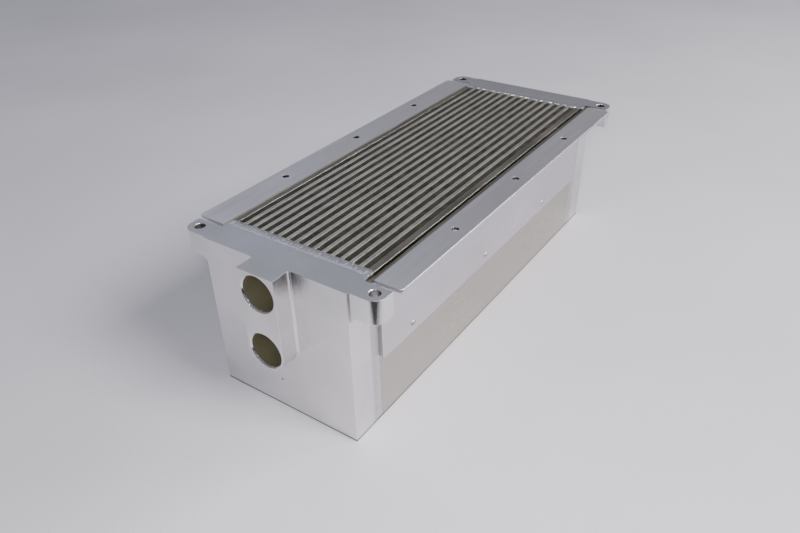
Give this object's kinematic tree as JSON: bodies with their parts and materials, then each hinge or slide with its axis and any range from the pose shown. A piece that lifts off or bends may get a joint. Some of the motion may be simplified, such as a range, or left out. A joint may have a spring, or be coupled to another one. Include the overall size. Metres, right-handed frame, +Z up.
{
  "type": "hydraulic oil cooler",
  "caption": "Bar-and-plate aluminium oil cooler: brazed core between a ported tank and a return tank, with bolt lugs and folded mounting flanges.",
  "frame": {"origin": "centre of the bounding box at the base, where the cooler stands", "axes": "+Z up, out of the open face of the core; -Y out of the two oil ports; +X across the core"},
  "size_m": [0.2064, 0.4716, 0.1482],
  "materials": {
    "machined_tank": "polished, faint mill marks",
    "core_bar": "brazed, satin",
    "air_fin": "brazed, dull",
    "turbulator": "brazed, dull",
    "parting_sheet": "brazed, satin",
    "side_plate": "mill finish",
    "folded_flange": "bright mill finish",
    "rivet": "satin",
    "weld_bead": "bright, rippled"
  },
  "bodies": {
    "root": {"port_tank": "machined_tank", "return_tank": "machined_tank", "pass_divider": "core_bar", "air_fin_01": "air_fin", "air_fin_02": "air_fin", "air_fin_03": "air_fin", "air_fin_04": "air_fin", "air_fin_05": "air_fin", "air_fin_06": "air_fin", "air_fin_07": "air_fin", "air_fin_08": "air_fin", "air_fin_09": "air_fin", "air_fin_10": "air_fin", "air_fin_11": "air_fin", "air_fin_12": "air_fin", "air_fin_13": "air_fin", "air_fin_14": "air_fin", "air_fin_15": "air_fin", "oil_turbulator_01": "turbulator", "oil_turbulator_02": "turbulator", "oil_turbulator_03": "turbulator", "oil_turbulator_04": "turbulator", "oil_turbulator_05": "turbulator", "oil_turbulator_06": "turbulator", "oil_turbulator_07": "turbulator", "oil_turbulator_08": "turbulator", "oil_turbulator_09": "turbulator", "oil_turbulator_10": "turbulator", "oil_turbulator_11": "turbulator", "oil_turbulator_12": "turbulator", "oil_turbulator_13": "turbulator", "oil_turbulator_14": "turbulator", "parting_sheets_01": "parting_sheet", "parting_sheets_02": "parting_sheet", "parting_sheets_03": "parting_sheet", "parting_sheets_04": "parting_sheet", "parting_sheets_05": "parting_sheet", "parting_sheets_06": "parting_sheet", "parting_sheets_07": "parting_sheet", "parting_sheets_08": "parting_sheet", "parting_sheets_09": "parting_sheet", "parting_sheets_10": "parting_sheet", "parting_sheets_11": "parting_sheet", "parting_sheets_12": "parting_sheet", "parting_sheets_13": "parting_sheet", "parting_sheets_14": "parting_sheet", "top_oil_bars": "core_bar", "pass_bars": "core_bar", "bottom_oil_bars": "core_bar", "near_air_bars": "core_bar", "far_air_bars": "core_bar", "left_side_plate": "side_plate", "right_side_plate": "side_plate", "left_flange": "folded_flange", "right_flange": "folded_flange", "left_rivets": "rivet", "right_rivets": "rivet", "port_tank_weld": "weld_bead", "return_tank_weld": "weld_bead"}
  },
  "joints": []
}
